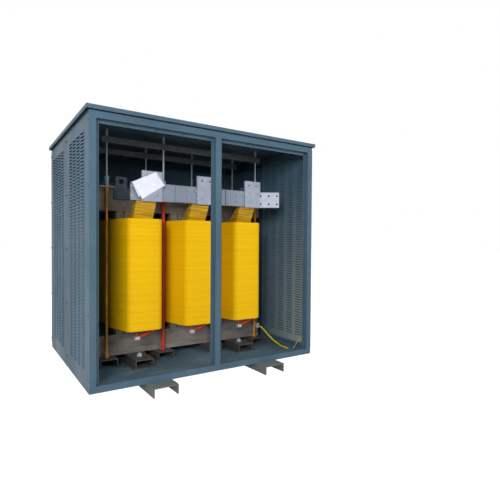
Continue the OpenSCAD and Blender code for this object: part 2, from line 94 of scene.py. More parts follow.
def linear(hex_colour: str) -> tuple[float, float, float, float]:
    """Turn an sRGB hex colour into linear light.

    Args:
        hex_colour: Colour such as #5b7080.

    Returns:
        Red, green, blue and an alpha of 1.
    """
    parts = [int(hex_colour[i:i + 2], 16) / 255 for i in (1, 3, 5)]
    red, green, blue = (c / 12.92 if c <= 0.04045 else ((c + 0.055) / 1.055) ** 2.4 for c in parts)
    return red, green, blue, 1.0


def add_node(tree: Tree, kind: str, inputs: dict[Any, Any] | None = None,
             **settings: Any) -> bpy.types.Node:
    """Add one node with its settings, values and links.

    Args:
        tree: Shader or geometry tree.
        kind: Type name of the node.
        inputs: Values or output sockets, by the name or number of the input socket.
        **settings: Properties of the node.

    Returns:
        The new node.
    """
    node = tree.nodes.new(kind)
    for name, value in settings.items():
        setattr(node, name, value)
    for key, value in (inputs or {}).items():
        if isinstance(value, Socket):
            tree.links.new(value, node.inputs[key])
        else:
            node.inputs[key].default_value = value
    return node


def reckon(tree: Tree, operation: str, *terms: Any) -> Socket:
    """Work out one sum in a tree.

    Args:
        tree: Shader or geometry tree.
        operation: Name of the operation.
        *terms: Values or output sockets, in the order of the inputs.

    Returns:
        The result.
    """
    return add_node(tree, "ShaderNodeMath", dict(enumerate(terms)), operation=operation).outputs[0]


def blend(tree: Tree, share: Socket, first: Any, second: Any) -> Socket:
    """Mix two colours, by the numbers that the Mix node's colour sockets have.

    Args:
        tree: Shader tree.
        share: Share of the second colour.
        first: Colour or socket at a share of 0.
        second: Colour or socket at a share of 1.

    Returns:
        The mixed colour.
    """
    return add_node(tree, "ShaderNodeMix", {0: share, 6: first, 7: second}, data_type="RGBA").outputs[2]


class Relief(Enum):
    """How the fine surface of a finish is raised."""

    GRAIN = "grain"
    BANDS_Y = "Y"
    BANDS_Z = "Z"


@dataclass(frozen=True)
class Finish:
    """One real material: its colours, its patches of tone, its fine relief, and on some finishes a tint of
    dust and painted light.
    """

    name: str
    slot: str
    colour: str
    shade: str
    patch_mm: Triple
    relief_mm: Triple
    depth_mm: float
    roughness: float
    spread: float = 0.08
    metallic: float = 0.0
    specular: float = 0.5
    contrast: tuple[float, float] = (0.35, 0.65)
    relief: Relief = Relief.GRAIN
    # Tint laid over the colour: dust and painted light on the side panels, painted shade on the bar
    dust_and_light_tint: str = ""
    tint_share: float = 0.8
    tint_x_mm: float = 0.0
    tint_top_mm: float = 1800.0
    tint_front_mm: float = -800.0
    tint_far: float = 1.0

    def material(self) -> bpy.types.Material:
        """Give the material of this finish, made on first use.

        Returns:
            The node material.
        """
        made = bpy.data.materials.get(self.name)
        if made is not None:
            return made
        made = bpy.data.materials.new(self.name)
        made.use_nodes = True
        tree = made.node_tree
        tree.nodes.clear()
        where = add_node(tree, "ShaderNodeTexCoord").outputs["Object"]
        tone = self.tone(tree, where)
        colour = blend(tree, tone, linear(self.colour), linear(self.shade))
        # Tint of dust and painted light, where the finish has one
        if self.dust_and_light_tint:
            colour = self.tinted_for_dust_and_light(tree, where, colour)
        rough = add_node(tree, "ShaderNodeMapRange",
                         {"Value": tone, "To Min": self.roughness - self.spread,
                          "To Max": self.roughness + self.spread})
        bump = add_node(tree, "ShaderNodeBump",
                        {"Height": self.height(tree, where), "Distance": self.depth_mm * MM})
        shader = add_node(tree, "ShaderNodeBsdfPrincipled",
                          {"Base Color": colour, "Roughness": rough.outputs[0], "Metallic": self.metallic,
                           "Specular IOR Level": self.specular, "Normal": bump.outputs[0]})
        add_node(tree, "ShaderNodeOutputMaterial", {"Surface": shader.outputs[0]})
        return made

    def tinted_for_dust_and_light(self, tree: Tree, where: Socket, untinted: Socket) -> Socket:
        """Lay a tint between two upright planes: dust and painted light on the side panels, and painted
        shade on the bar, whose untinted end is a painted reflection.

        It gets thinner towards the top, and from the front towards the middle of the case.

        Args:
            tree: Tree of the material.
            where: Object coordinates.
            untinted: Colour without the tint.

        Returns:
            Colour with the tint.
        """
        x, y, z = add_node(tree, "ShaderNodeSeparateXYZ", {0: where}).outputs
        inside = reckon(tree, "LESS_THAN", reckon(tree, "ABSOLUTE", x), self.tint_x_mm * MM)
        low = add_node(tree, "ShaderNodeMapRange",
                       {"Value": z, "From Max": self.tint_top_mm * MM,
                        "To Min": self.tint_share, "To Max": 0.0})
        near = add_node(tree, "ShaderNodeMapRange",
                        {"Value": y, "From Min": self.tint_front_mm * MM, "From Max": 0.0,
                         "To Min": 1.0, "To Max": self.tint_far})
        cover = reckon(tree, "MULTIPLY", low.outputs[0], near.outputs[0])
        return blend(tree, reckon(tree, "MULTIPLY", inside, cover), untinted, linear(self.dust_and_light_tint))

    def tone(self, tree: Tree, where: Socket) -> Socket:
        """Lay patches of the second tone.

        Args:
            tree: Tree of the material.
            where: Object coordinates.

        Returns:
            Share of the second tone, from 0 to 1.
        """
        size = [1 / (s * MM) for s in self.patch_mm]
        place = add_node(tree, "ShaderNodeMapping", {"Vector": where, "Scale": size})
        noise = add_node(tree, "ShaderNodeTexNoise",
                         {"Vector": place.outputs[0], "Scale": 1.0, "Detail": PATCH_DETAIL,
                          "Roughness": PATCH_ROUGHNESS})
        low, high = self.contrast
        share = add_node(tree, "ShaderNodeMapRange",
                         {"Value": noise.outputs[0], "From Min": low, "From Max": high})
        return share.outputs[0]

    def height(self, tree: Tree, where: Socket) -> Socket:
        """Raise the fine relief.

        Args:
            tree: Tree of the material.
            where: Object coordinates.

        Returns:
            Height from 0 to 1.
        """
        size = [1 / (s * MM) for s in self.relief_mm]
        place = add_node(tree, "ShaderNodeMapping", {"Vector": where, "Scale": size})
        if self.relief is Relief.GRAIN:
            noise = add_node(tree, "ShaderNodeTexNoise",
                             {"Vector": place.outputs[0], "Scale": 1.0, "Detail": GRAIN_DETAIL})
            return noise.outputs[0]
        wave = add_node(tree, "ShaderNodeTexWave",
                        {"Vector": place.outputs[0], "Scale": WAVE_UNIT, "Distortion": BAND_DISTORTION,
                         "Detail": BAND_DETAIL}, bands_direction=self.relief.value)
        return wave.outputs["Fac"]


# Powder coat on sheet steel: even blue-grey, a soft sheen and a faint orange peel, drawn coarser to show
POWDER_COAT = Finish("powder_coated_steel", "enclosure_paint", "#4a6272", "#425968", (420, 420, 700),
                     (9, 9, 9), 0.10, 0.40, spread=0.05, specular=0.2)
# The same coat on the side panels: plain outside; inside, a pale tint strongest low down and near the open
# front, partly dust and partly painted light falling in through the open front, thinner towards the top and
# back as painted shade
PANEL_COAT_DUST_AND_LIGHT = replace(POWDER_COAT, name="powder_coated_panel_dust_and_light", dust_and_light_tint="#a3aaa4", tint_x_mm=1036.0, tint_far=0.1)
# Brushed-on floor paint: duller, walked on, with pale dusty patches
FLOOR_PAINT = Finish("painted_floor_steel", "floor_paint", "#466172", "#66777f", (240, 150, 240),
                     (14, 14, 14), 0.25, 0.55, contrast=(0.42, 0.74))
# Hot-rolled steel under grey primer: brownish, blotchy, with the scale of the mill showing
PRIMED_STEEL = Finish("primed_rolled_steel", "base_steel", "#4c4b4e", "#5c5348", (90, 140, 90),
                      (6, 6, 6), 0.30, 0.52, metallic=0.25, contrast=(0.42, 0.74))
# Clamp channels under dusty grey-beige primer, in random pale and dark patches: the dark tone is painted
# shade, the colour of the clamp's shaded lower part
CLAMP_PRIMER_AND_SHADE = Finish("clamp_primer_and_painted_shade", "base_steel", "#857f76", "#5b585a", (260, 200, 60),
                      (7, 7, 7), 0.25, 0.62, metallic=0.1, contrast=(0.36, 0.70))
# Channel skids: the case paint under road dust, greyer and duller
DUSTY_PAINT = Finish("dusty_skid_paint", "floor_paint", "#575f60", "#6a6d68", (180, 120, 60),
                     (12, 12, 12), 0.25, 0.60, contrast=(0.38, 0.74))
# Varnished core sheets: matt grey-beige, with the edges of the stack as fine upright lines, drawn coarser
CORE_VARNISH = Finish("varnished_core_steel", "core_steel", "#8d8677", "#6d685d", (160, 60, 160),
                      (60, 7, 60), 0.35, 0.55, metallic=0.15, relief=Relief.BANDS_Y)
# Resin-wet glass tape wound in level turns: warm yellow, satin, each turn a little lighter or browner
COIL_RESIN = Finish("resin_wound_tape", "coil_resin", "#e0b10a", "#d5a506", (4000, 4000, 18),
                    (900, 900, 8), 0.10, 0.50, spread=0.06, specular=0.2, contrast=(0.36, 0.70),
                    relief=Relief.BANDS_Z)
# Varnished cotton tape round foil: darker yellow with brown edges of each turn
LEAD_TAPE = Finish("varnished_tape", "lead_tape", "#d0a528", "#84691a", (200, 90, 11),
                   (80, 80, 12), 0.9, 0.48, contrast=(0.38, 0.66), relief=Relief.BANDS_Z)
# Pressed board: fibrous, dull, browned by varnish
PRESSED_BOARD = Finish("pressed_board", "block_resin", "#8b8470", "#746d5b", (40, 40, 90),
                       (5, 5, 12), 0.25, 0.75)
# Drawn aluminium bar: fine lines along its length; a grey tint over it is painted shade, and the bent end
# left pale is a painted reflection of the light that it faces
DRAWN_ALUMINIUM = Finish("drawn_aluminium", "busbar_aluminium", "#c3cad8", "#b8c0cf", (600, 40, 60),
                         (90, 4, 2.5), 0.04, 0.42, spread=0.03, metallic=0.3,
                         dust_and_light_tint="#76808f", tint_x_mm=651.0, tint_top_mm=EVEN_TINT_MM)
# Milled aluminium plate: paler and more even than the bar
MILLED_ALUMINIUM = Finish("milled_aluminium", "busbar_aluminium", "#a6acbc", "#9aa1b2", (60, 20, 60),
                          (12, 4, 3), 0.05, 0.50, metallic=0.3)
# Yellow passivated zinc: golden brown with a pinkish bloom
PASSIVATED_ZINC = Finish("passivated_zinc", "rod_plating", "#eba63a", "#bb7722", (30, 30, 160),
                         (8, 8, 5), 0.15, 0.40, metallic=0.3)
# Heat-shrunk red sleeve: smooth, slightly wavy, satin
SHRINK_SLEEVE = Finish("red_shrink_sleeve", "sleeve_red", "#c83a22", "#9d2b1a", (60, 60, 220),
                       (30, 30, 22), 0.5, 0.36)
# Cast resin: cool blue-grey, smooth
CAST_RESIN = Finish("cast_resin", "insulator_blue", "#9bb4d0", "#88a0bb", (50, 50, 50),
                    (10, 10, 10), 0.10, 0.32)
# Zinc-plated steel: grey, soft spangle
ZINC_STEEL = Finish("zinc_plated_steel", "hanger_steel", "#7b8082", "#626769", (26, 26, 26),
                    (6, 6, 6), 0.10, 0.42, metallic=0.6)
# Fresh zinc on hanger rods, foot bolts and tap lugs: pale and bright
BRIGHT_ZINC = replace(ZINC_STEEL, name="bright_zinc_plating", colour="#c6ced6", shade="#adb6bf",
                      metallic=0.3)
# Dark machine paint, matt
LUG_PAINT = Finish("dark_machine_paint", "lug_paint", "#4c5766", "#3c4652", (60, 60, 60),
                   (8, 8, 8), 0.15, 0.50)
# Office paper: white, faintly uneven
PAPER = Finish("office_paper", "sheet_paper", "#dfe1ee", "#d2d5e4", (70, 70, 70),
               (9, 9, 9), 0.10, 0.60, spread=0.03, specular=0.3)
# PVC sheath: yellow, smooth, faint waviness
PVC_SHEATH = Finish("pvc_sheath", "earth_sheath", "#e3c60f", "#cfae0a", (40, 40, 40),
                    (12, 12, 12), 0.15, 0.35)
# Black gasket rubber, matt, greyed by dust
GASKET_RUBBER = Finish("gasket_rubber", "enclosure_paint", "#14171a", "#1f2326", (30, 30, 200),
                       (6, 6, 6), 0.10, 0.70)
# Finish of each slot, and of the solids that differ from the rest of their slot
SLOT_FINISHES = (POWDER_COAT, FLOOR_PAINT, PRIMED_STEEL, CORE_VARNISH, COIL_RESIN, LEAD_TAPE, PRESSED_BOARD,
                 DRAWN_ALUMINIUM, PASSIVATED_ZINC, SHRINK_SLEEVE, CAST_RESIN, ZINC_STEEL, LUG_PAINT, PAPER,
                 PVC_SHEATH)
OWN_FINISH = {"lower_clamps": CLAMP_PRIMER_AND_SHADE, "skid_left": DUSTY_PAINT, "skid_right": DUSTY_PAINT,
              "hanger_rods": BRIGHT_ZINC, "earth_lug": BRIGHT_ZINC, "earth_stud": FLOOR_PAINT}
OWN_FINISH |= dict.fromkeys(TERMINALS, MILLED_ALUMINIUM)
OWN_FINISH |= dict.fromkeys(SIDE_PANELS, PANEL_COAT_DUST_AND_LIGHT)


def link(name: str, data: Any) -> Piece:
    """Put a new object into the scene.

    Args:
        name: Name of the object.
        data: Mesh, curve, lamp or camera that it shows.

    Returns:
        The object, at the origin.
    """
    piece = bpy.data.objects.new(name, data)
    bpy.context.scene.collection.objects.link(piece)
    return piece


def keep(piece: Piece) -> None:
    """Let a finished piece ride with the part.

    Args:
        piece: Piece at the origin, with its place in its mesh.
    """
    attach(piece, BODY)
    LOG.info("piece %s", piece.name)


def geometry_tree(name: str, numbers: Sequence[str], others: dict[str, str]) -> tuple[Tree, Any]:
    """Start a geometry tree with named inputs, the last of which is its material.

    Args:
        name: Name of the tree.
        numbers: Labels of the plain numbers.
        others: Label of each other input and the last word of its socket type.

    Returns:
        The tree and its input sockets, by label.
    """
    tree = bpy.data.node_groups.new(name, "GeometryNodeTree")
    kinds = {"Points": "Geometry"} | dict.fromkeys(numbers, "Float") | others | {"Material": "Material"}
    for label, kind in kinds.items():
        tree.interface.new_socket(label, in_out="INPUT", socket_type="NodeSocket" + kind)
    tree.interface.new_socket("Mesh", in_out="OUTPUT", socket_type="NodeSocketGeometry")
    return tree, add_node(tree, "NodeGroupInput").outputs


def close_tree(tree: Tree, shape: Socket, material: Socket) -> None:
    """End a geometry tree: real instances, then the material.

    Args:
        tree: Tree to end.
        shape: Geometry that the tree has made.
        material: Input socket that holds the material.
    """
    real = add_node(tree, "GeometryNodeRealizeInstances", {"Geometry": shape})
    dressed = add_node(tree, "GeometryNodeSetMaterial", {"Geometry": real.outputs[0], "Material": material})
    add_node(tree, "NodeGroupOutput", {0: dressed.outputs[0]})


def grow(name: str, tree: Tree, values: dict[str, Any],
         points: Sequence[Triple] = ((0.0, 0.0, 0.0),), closed: bool = False) -> Piece:
    """Run a geometry tree and keep what it makes as a plain mesh.

    Args:
        name: Name of the piece.
        tree: Geometry tree.
        values: Value of each named input.
        points: Points that the tree starts from.
        closed: Whether edges join the points into a closed outline.

    Returns:
        The new piece, at the origin.
    """
    count = len(points)
    seed = bpy.data.meshes.new(name + "_points")
    seed.from_pydata(points, [(i, (i + 1) % count) for i in range(count)] if closed else [], [])
    carrier = link(name + "_carrier", seed)
    modifier = carrier.modifiers.new("Grow", "NODES")
    modifier.node_group = tree
    for item in tree.interface.items_tree:
        if item.name in values:
            modifier[item.identifier] = values[item.name]
    depsgraph = bpy.context.evaluated_depsgraph_get()
    mesh = bpy.data.meshes.new_from_object(carrier.evaluated_get(depsgraph), depsgraph=depsgraph)
    carrier.modifiers.clear()
    bpy.data.objects.remove(carrier)
    mesh.name = name
    return link(name, mesh)


def slabs(name: str, spans: Sequence[tuple[Sequence[float], Sequence[float]]], finish: Finish,
          bevel_mm: float = 0.6) -> None:
    """Make one piece of slabs with eased edges, and keep it.

    Args:
        name: Name of the piece.
        spans: Lowest and highest corner of each slab.
        finish: Finish of the slabs.
        bevel_mm: Width of the eased edges.
    """
    shape = bmesh.new()
    for low, high in spans:
        size = Vector(high) - Vector(low)
        place = Matrix.Translation((Vector(high) + Vector(low)) / 2) @ Matrix.Diagonal((*size, 1.0))
        bmesh.ops.create_cube(shape, size=1.0, matrix=place)
    bmesh.ops.bevel(shape, geom=shape.edges[:], offset=bevel_mm * MM, segments=2, profile=0.5,
                    affect="EDGES")
    mesh = bpy.data.meshes.new(name)
    shape.to_mesh(mesh)
    shape.free()
    mesh.materials.append(finish.material())
    keep(link(name, mesh))


class Facing(Enum):
    """Side of the part that a flat pattern faces: its local X, Y and Z axes there."""

    LEFT = ((0, -1, 0), (0, 0, 1), (-1, 0, 0))
    RIGHT = ((0, 1, 0), (0, 0, 1), (1, 0, 0))
    BACK = ((-1, 0, 0), (0, 0, 1), (0, 1, 0))
    FRONT = ((1, 0, 0), (0, 0, 1), (0, -1, 0))
    UP = ((1, 0, 0), (0, 1, 0), (0, 0, 1))

    def turn(self) -> Triple:
        """Find the turn that brings a flat pattern to this side.

        Returns:
            Euler angles in radians.
        """
        return tuple(Matrix(self.value).transposed().to_euler())

    def normal(self) -> Vector:
        """Find the outward direction.

        Returns:
            A unit vector.
        """
        return Vector(self.value[2])


@dataclass
class Bolts:
    """Hexagon heads with washers and stud ends, repeated on points."""

    head_mm: float
    head_h_mm: float
    washer_mm: float
    washer_h_mm: float
    stud_mm: float
    stud_h_mm: float
    round_sides: int = 14
    head_sides: int = 6

    def tree(self) -> Tree:
        """Build the tree that sets one bolt on each point, or give it back.

        Returns:
            The geometry tree.
        """
        made = bpy.data.node_groups.get("bolts")
        if made is not None:
            return made
        sizes = ("Head", "Head height", "Washer", "Washer height", "Stud", "Stud height")
        tree, get = geometry_tree("bolts", sizes, {"Turn": "Vector"})
        bolt = add_node(tree, "GeometryNodeJoinGeometry")
        base: Any = 0.0
        for label, sides in (("Washer", self.round_sides), ("Head", self.head_sides),
                             ("Stud", self.round_sides)):
            radius = reckon(tree, "MULTIPLY", get[label], 0.5)
            depth = get[label + " height"]
            middle = reckon(tree, "MULTIPLY_ADD", depth, 0.5, base)
            lift = add_node(tree, "ShaderNodeCombineXYZ", {2: middle})
            disc = add_node(tree, "GeometryNodeMeshCylinder",
                            {"Vertices": sides, "Radius": radius, "Depth": depth})
            moved = add_node(tree, "GeometryNodeTransform",
                             {"Geometry": disc.outputs[0], "Translation": lift.outputs[0]})
            tree.links.new(moved.outputs[0], bolt.inputs[0])
            base = reckon(tree, "ADD", depth, base)
        placed = add_node(tree, "GeometryNodeInstanceOnPoints",
                          {"Points": get["Points"], "Instance": bolt.outputs[0], "Rotation": get["Turn"]})
        close_tree(tree, placed.outputs[0], get["Material"])
        return tree

    def build(self, name: str, points: Sequence[Sequence[float]], facing: Facing, finish: Finish) -> None:
        """Set bolts on points of one side, all in one piece.

        Args:
            name: Name of the piece.
            points: Seats of the bolts.
            facing: Side that the heads look to.
            finish: Finish of the bolts.
        """
        values = {"Head": self.head_mm * MM, "Head height": self.head_h_mm * MM,
                  "Washer": self.washer_mm * MM, "Washer height": self.washer_h_mm * MM,
                  "Stud": self.stud_mm * MM, "Stud height": self.stud_h_mm * MM,
                  "Turn": facing.turn(), "Material": finish.material()}
        keep(grow(name, self.tree(), values, [tuple(p) for p in points]))


@dataclass
class Enclosure:
    """Painted case: louvre hoods on the panels' slots, and screws, gaskets and lips along their edges."""

    louvre_w_mm: float = 100.0
    pitch_w_mm: float = 144.0
    pitch_h_mm: float = 25.4
    slot_mm: float = 11.0
    margin_mm: float = 85.0
    hood_lap_mm: float = 3.8
    hood_out_mm: float = 10.0
    hood_t_mm: float = 1.5
    hood_power: float = 2.6
    hood_weld_mm: float = 0.05
    hood_points_along: int = 9
    hood_points_down: int = 4
    side_columns: int = 4
    back_columns: int = 6
    sill_lip_h_mm: float = 24.0
    sill_lip_t_mm: float = 2.5
    sill_lip_inset_mm: float = 51.0
    screw_step_mm: float = 440.0
    screw_inset_mm: float = 14.0
    screw_end_mm: float = 42.0
    cover_lip_back_mm: float = 38.0
    cover_screw_up_mm: float = 13.0
    cover_screw_from_post_mm: float = 30.0
    cover_screw_from_end_mm: float = 60.0
    cover_screws: int = 5
    gasket_sunk_mm: float = 1.0
    gasket_edge_mm: float = 0.2

    def hood_tree(self) -> Tree:
        """Build the tree that fills a field with pressed louvre hoods, open at the bottom.

        Returns:
            The geometry tree.
        """
        sizes = ("Field width", "Field height", "Length", "Drop", "Out", "Thickness")
        others = {"Columns": "Int", "Rows": "Int", "Place": "Vector", "Turn": "Vector"}
        tree, get = geometry_tree("louvre_hoods", sizes, others)
        sheet = add_node(tree, "GeometryNodeMeshGrid",
                         {"Size X": get["Length"], "Size Y": get["Drop"],
                          "Vertices X": self.hood_points_along, "Vertices Y": self.hood_points_down})
        position = add_node(tree, "GeometryNodeInputPosition")
        x, y, _ = add_node(tree, "ShaderNodeSeparateXYZ", {0: position.outputs[0]}).outputs
        half_length = reckon(tree, "MULTIPLY", get["Length"], 0.5)
        to_end = reckon(tree, "ABSOLUTE", reckon(tree, "DIVIDE", x, half_length))
        full = reckon(tree, "SUBTRACT", 1.0, reckon(tree, "POWER", to_end, self.hood_power))
        # A quarter of a sine wave, from nothing at the top edge to all of the height at the bottom edge
        down = reckon(tree, "DIVIDE", y, get["Drop"])
        angle = reckon(tree, "MULTIPLY_ADD", down, -math.pi / 2, math.pi / 4)
        bulge = reckon(tree, "MULTIPLY", full, reckon(tree, "SINE", angle))
        offset = add_node(tree, "ShaderNodeCombineXYZ", {2: reckon(tree, "MULTIPLY", bulge, get["Out"])})
        pressed = add_node(tree, "GeometryNodeSetPosition",
                           {"Geometry": sheet.outputs[0], "Offset": offset.outputs[0]})
        skin = add_node(tree, "GeometryNodeExtrudeMesh",
                        {"Mesh": pressed.outputs[0], "Offset Scale": get["Thickness"], "Individual": False})
        inside = add_node(tree, "GeometryNodeFlipFaces", {"Mesh": pressed.outputs[0]})
        both = add_node(tree, "GeometryNodeJoinGeometry", {0: skin.outputs[0]})
        tree.links.new(inside.outputs[0], both.inputs[0])
        hood = add_node(tree, "GeometryNodeMergeByDistance",
                        {"Geometry": both.outputs[0], "Distance": self.hood_weld_mm * MM})
        field = add_node(tree, "GeometryNodeMeshGrid",
                         {"Size X": get["Field width"], "Size Y": get["Field height"],
                          "Vertices X": get["Columns"], "Vertices Y": get["Rows"]})
        rows = add_node(tree, "GeometryNodeInstanceOnPoints",
                        {"Points": field.outputs[0], "Instance": hood.outputs[0]})
        placed = add_node(tree, "GeometryNodeTransform",
                          {"Geometry": rows.outputs[0], "Translation": get["Place"],
                           "Rotation": get["Turn"]})
        close_tree(tree, placed.outputs[0], get["Material"])
        return tree

    def hoods(self, tree: Tree, panel: str, facing: Facing, columns: int) -> None:
        """Set a hood over every slot of one panel.

        Args:
            tree: Tree of the hoods.
            panel: Name of the panel's node.
            facing: Side that the panel faces.
            columns: Columns of louvres in the panel.
        """
        low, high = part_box(panel)
        place = (low + high) / 2 + facing.normal() * min(high - low) / 2
        rows = math.floor(((high.z - low.z) / MM - 2 * self.margin_mm) / self.pitch_h_mm) + 1
        drop = self.slot_mm + 2 * self.hood_lap_mm
        values = {"Field width": (columns - 1) * self.pitch_w_mm * MM,
                  "Field height": (rows - 1) * self.pitch_h_mm * MM,
                  "Length": self.louvre_w_mm * MM, "Drop": drop * MM, "Out": self.hood_out_mm * MM,
                  "Thickness": self.hood_t_mm * MM, "Columns": columns, "Rows": rows, "Place": tuple(place),
                  "Turn": facing.turn(), "Material": POWDER_COAT.material()}
        keep(grow(panel + "_hoods", tree, values))

    def screws(self, panel: str, facing: Facing) -> None:
        """Set a row of screws along both upright edges of one panel.

        Args:
            panel: Name of the panel's node.
            facing: Side that the panel faces.
        """
        low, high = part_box(panel)
        across = Vector(facing.value[0])
        middle = (low + high) / 2 + facing.normal() * min(high - low) / 2
        half_w = abs((high - low).dot(across)) / 2 - self.screw_inset_mm * MM
        count = round((high.z - low.z) / (self.screw_step_mm * MM))
        first = low.z + self.screw_end_mm * MM
        step = (high.z - low.z - 2 * self.screw_end_mm * MM) / count
        points = [middle + across * side * half_w + Vector((0, 0, first + k * step - middle.z))
                  for side in (-1, 1) for k in range(count + 1)]
        screw = Bolts(head_mm=13, head_h_mm=4, washer_mm=18, washer_h_mm=1.5, stud_mm=5, stud_h_mm=0.6)
        screw.build(panel + "_screws", points, facing, ZINC_STEEL)

    def cover_screws_row(self) -> None:
        """Set the cover screws on the rebate lips above the two front bays."""
        low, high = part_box("top_rails")
        posts_low, posts_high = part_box("centre_posts")
        y = posts_low.y + self.cover_lip_back_mm * MM
        z = low.z + self.cover_screw_up_mm * MM
        first = posts_high.x + self.cover_screw_from_post_mm * MM
        step = (high.x - self.cover_screw_from_end_mm * MM - first) / (self.cover_screws - 1)
        points = [(side * (first + k * step), y, z) for side in (-1, 1) for k in range(self.cover_screws)]
        screw = Bolts(head_mm=12, head_h_mm=4, washer_mm=17, washer_h_mm=1.5, stud_mm=5, stud_h_mm=0.6)
        screw.build("front_lip_screws", points, Facing.FRONT, LUG_PAINT)

    def seams(self) -> None:
        """Lay a dark gasket in the gap between the two panels of each side."""
        low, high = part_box("left_front_panel")
        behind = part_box("left_back_panel")[0]
        sunk = self.gasket_sunk_mm * MM
        left = ((low.x + sunk, high.y, low.z), (high.x, behind.y, high.z))
        right = ((-high.x, high.y, low.z), (-low.x - sunk, behind.y, high.z))
        slabs("panel_gaskets", [left, right], GASKET_RUBBER, self.gasket_edge_mm)

    def sill_lips(self) -> None:
        """Stand a lip behind the lower edge of every panel, so that no light shows under it."""
        rails_low, rails_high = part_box("bottom_rails")
        z0, z1 = rails_high.z, rails_high.z + self.sill_lip_h_mm * MM
        t = self.sill_lip_t_mm * MM
        left_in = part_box("left_front_panel")[1].x
        back_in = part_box("back_left_panel")[0].y
        inset = self.sill_lip_inset_mm * MM
        y0, y1 = rails_low.y + inset, rails_high.y - inset
        x0, x1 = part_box("corner_posts")[0].x + inset, rails_high.x - inset
        spans = [((left_in, y0, z0), (left_in + t, y1, z1)), ((-left_in - t, y0, z0), (-left_in, y1, z1)),
                 ((x0, back_in - t, z0), (x1, back_in, z1))]
        slabs("sill_lips", spans, POWDER_COAT)

    def build(self) -> None:
        """Add the hoods, screws, gaskets and lips of the whole case."""
        tree = self.hood_tree()
        for side, facing in (("left", Facing.LEFT), ("right", Facing.RIGHT)):
            for end in ("front", "back"):
                self.hoods(tree, f"{side}_{end}_panel", facing, self.side_columns)
                self.screws(f"{side}_{end}_panel", facing)
        for side in ("left", "right"):
            self.hoods(tree, f"back_{side}_panel", Facing.BACK, self.back_columns)
            self.screws(f"back_{side}_panel", Facing.BACK)
        self.cover_screws_row()
        self.seams()
        self.sill_lips()


@dataclass
class Windings:
    """Three coils, each with a skin of wound tape in level turns."""

    front_w_mm: float = 284.0
    side_d_mm: float = 380.0
    corner_r_mm: float = 50.0
    turn_mm: float = 16.0
    ridge_mm: float = 1.2
    tuck_mm: float = 5.0
    points_per_turn: int = 6
    corner_steps: int = 9

    def tree(self) -> Tree:
        """Build the tree that winds level turns of tape round a closed outline.

        Returns:
            The geometry tree.
        """
        sizes = ("Height", "Corner", "Ridge", "Tuck", "Turns")
        others = {"Corner steps": "Int", "Ring count": "Int", "Place": "Vector"}
        tree, get = geometry_tree("tape_turns", sizes, others)
        outline = add_node(tree, "GeometryNodeMeshToCurve", {"Mesh": get["Points"]})
        path = add_node(tree, "GeometryNodeFilletCurve",
                        {"Curve": outline.outputs[0], "Count": get["Corner steps"], "Radius": get["Corner"]},
                        mode="POLY")
        upright = add_node(tree, "GeometryNodeSetCurveNormal", {"Curve": path.outputs[0]}, mode="Z_UP")
        top = add_node(tree, "ShaderNodeCombineXYZ", {1: get["Height"]})
        line = add_node(tree, "GeometryNodeCurvePrimitiveLine", {"End": top.outputs[0]})
        rings = add_node(tree, "GeometryNodeResampleCurve",
                         {"Curve": line.outputs[0], "Count": get["Ring count"]})
        position = add_node(tree, "GeometryNodeInputPosition")
        _, y, _ = add_node(tree, "ShaderNodeSeparateXYZ", {0: position.outputs[0]}).outputs
        turn = reckon(tree, "MULTIPLY", reckon(tree, "DIVIDE", y, get["Height"]), get["Turns"])
        wave = reckon(tree, "SINE", reckon(tree, "MULTIPLY", turn, math.pi))
        out = reckon(tree, "MULTIPLY", reckon(tree, "ABSOLUTE", wave), get["Ridge"])
        ends = add_node(tree, "GeometryNodeCurveEndpointSelection")
        tucked = reckon(tree, "MULTIPLY", ends.outputs[0], get["Tuck"])
        offset = add_node(tree, "ShaderNodeCombineXYZ", {0: reckon(tree, "SUBTRACT", out, tucked)})
        profile = add_node(tree, "GeometryNodeSetPosition",
                           {"Geometry": rings.outputs[0], "Offset": offset.outputs[0]})
        skin = add_node(tree, "GeometryNodeCurveToMesh",
                        {"Curve": upright.outputs[0], "Profile Curve": profile.outputs[0]})
        placed = add_node(tree, "GeometryNodeTransform",
                          {"Geometry": skin.outputs[0], "Translation": get["Place"]})
        close_tree(tree, placed.outputs[0], get["Material"])
        return tree

    def outline(self, width: float, depth: float) -> list[Triple]:
        """Lay out a coil's plan: flat front and back, and sides that swell between them.

        Args:
            width: Width at the sides.
            depth: Depth from front to back.

        Returns:
            Corners in order round the coil.
        """
        front, side = self.front_w_mm * MM / 2, self.side_d_mm * MM / 2
        right = [(front, -depth / 2, 0.0), (width / 2, -side, 0.0),
                 (width / 2, side, 0.0), (front, depth / 2, 0.0)]
        return right + [(-x, y, z) for x, y, z in reversed(right)]

    def build(self) -> None:
        """Wind the tape of the three coils."""
        tree = self.tree()
        for coil in COILS:
            low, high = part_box(coil)
            size = high - low
            turns = round(size.z / (self.turn_mm * MM))
            place = ((low.x + high.x) / 2, (low.y + high.y) / 2, high.z)
            values = {"Height": size.z, "Corner": self.corner_r_mm * MM,
                      "Ridge": self.ridge_mm * MM, "Tuck": self.tuck_mm * MM, "Turns": float(turns),
                      "Corner steps": self.corner_steps, "Ring count": turns * self.points_per_turn + 1,
                      "Place": place, "Material": COIL_RESIN.material()}
            piece = grow(coil + "_tape", tree, values, self.outline(size.x, size.y), closed=True)
            piece.data.shade_smooth()
            keep(piece)


